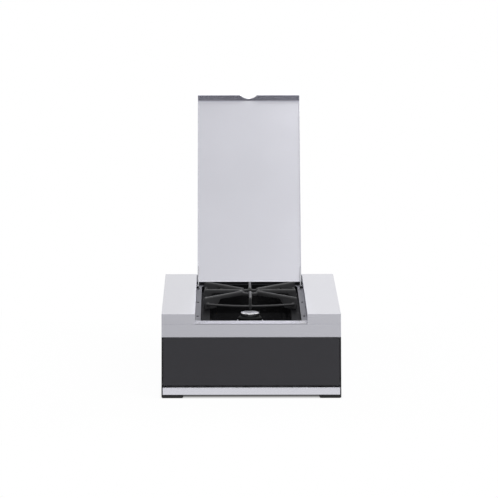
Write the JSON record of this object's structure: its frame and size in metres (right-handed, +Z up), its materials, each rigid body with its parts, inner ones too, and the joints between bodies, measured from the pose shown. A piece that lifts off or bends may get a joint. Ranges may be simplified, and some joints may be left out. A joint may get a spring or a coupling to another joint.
{
  "type": "hot plate burner",
  "caption": "Countertop gas burner with a hinged lid over a cast iron trivet, a drop-down front flap and a push-and-turn control knob.",
  "frame": {"origin": "on the surface it stands on, under the middle of the bounding box with the lid open", "axes": "+Z up, +Y towards the back where the gas comes in, +X to the right seen from the front"},
  "size_m": [0.38, 0.79, 0.5584],
  "materials": {
    "stainless": "fine horizontal brush",
    "plain_steel": "dull",
    "galvanised": "dull zinc",
    "enamel": "gloss vitreous enamel",
    "fascia": "satin charcoal",
    "black_paint": "satin black powder coat",
    "cast_iron": "matt",
    "burner_black": "matt black",
    "bright_alloy": "bright",
    "aluminium": "cast",
    "brass": "machined",
    "rubber": "matt",
    "magnet": "matt",
    "ceramic": "glazed ceramic, weighed as plastic",
    "black_plastic": "fine grain"
  },
  "bodies": {
    "housing": {"top_deck": "stainless", "front_apron": "stainless", "well_frame": "stainless", "well_wall_left": "stainless", "well_wall_right": "stainless", "well_rear": "stainless", "drip_bowl": "enamel", "ledge_screw_1": "plain_steel", "ledge_screw_2": "plain_steel", "ledge_screw_3": "plain_steel", "ledge_screw_4": "plain_steel", "ledge_screw_5": "plain_steel", "ledge_screw_6": "plain_steel", "side_panel_left": "stainless", "side_panel_right": "stainless", "rear_panel": "stainless", "base_pan": "black_paint", "edge_trim_left": "rubber", "edge_trim_right": "rubber", "foot_front_left": "rubber", "foot_front_right": "rubber", "foot_rear_left": "rubber", "foot_rear_right": "rubber", "front_rail": "stainless", "control_panel": "galvanised", "knob_bezel": "aluminium", "hinge_pin_left": "plain_steel", "hinge_pin_right": "plain_steel", "flap_pin_left": "plain_steel", "flap_pin_right": "plain_steel", "magnet_left": "magnet", "magnet_right": "magnet", "mixing_tube": "aluminium", "tube_stand": "galvanised", "igniter": "ceramic", "flame_sensor": "brass", "spark_box": "black_plastic", "valve_body": "brass", "valve_spring": "plain_steel", "feed_pipe": "aluminium", "injector": "brass", "gas_rail": "aluminium", "inlet_fitting": "brass"},
    "lid": {"lid_panel": "stainless", "lid_ear_left": "plain_steel", "lid_ear_right": "plain_steel"},
    "flap": {"flap_plate": "fascia", "flap_frame": "galvanised", "flap_strike_left": "plain_steel", "flap_strike_right": "plain_steel"},
    "trivet": {"trivet": "cast_iron"},
    "spreader": {"flame_spreader": "burner_black"},
    "cap": {"burner_cap": "bright_alloy"},
    "plug": {"valve_plug": "brass"},
    "knob": {"valve_spindle": "plain_steel", "knob": "black_plastic"}
  },
  "joints": [
    {"name": "lid_hinge", "type": "hinge", "parent": "housing", "child": "lid", "pos_m": [0, 0.12742, 0.153], "axis": [-1, 0, 0], "range_deg": [-122, 0]},
    {"name": "flap_hinge", "type": "hinge", "parent": "housing", "child": "flap", "pos_m": [0, -0.37739, 0.02917], "axis": [1, 0, 0], "range_deg": [0, 88]},
    {"name": "trivet_lift", "type": "slide", "parent": "housing", "child": "trivet", "axis": [0, 0, 1], "range_m": [0, 0.12]},
    {"name": "spreader_lift", "type": "slide", "parent": "housing", "child": "spreader", "axis": [0, 0, 1], "range_m": [0, 0.012]},
    {"name": "cap_lift", "type": "slide", "parent": "spreader", "child": "cap", "axis": [0, 0, 1], "range_m": [0, 0.012]},
    {"name": "knob_turn", "type": "hinge", "parent": "housing", "child": "plug", "pos_m": [0, -0.35714, 0.07114], "axis": [0, -0.9659, 0.2588], "range_deg": [0, 210]},
    {"name": "knob_push", "type": "slide", "parent": "plug", "child": "knob", "axis": [0, 0.9659, -0.2588], "range_m": [0, 0.003], "stiffness_N_per_m": 800, "deforming": ["valve_spring"]}
  ]
}
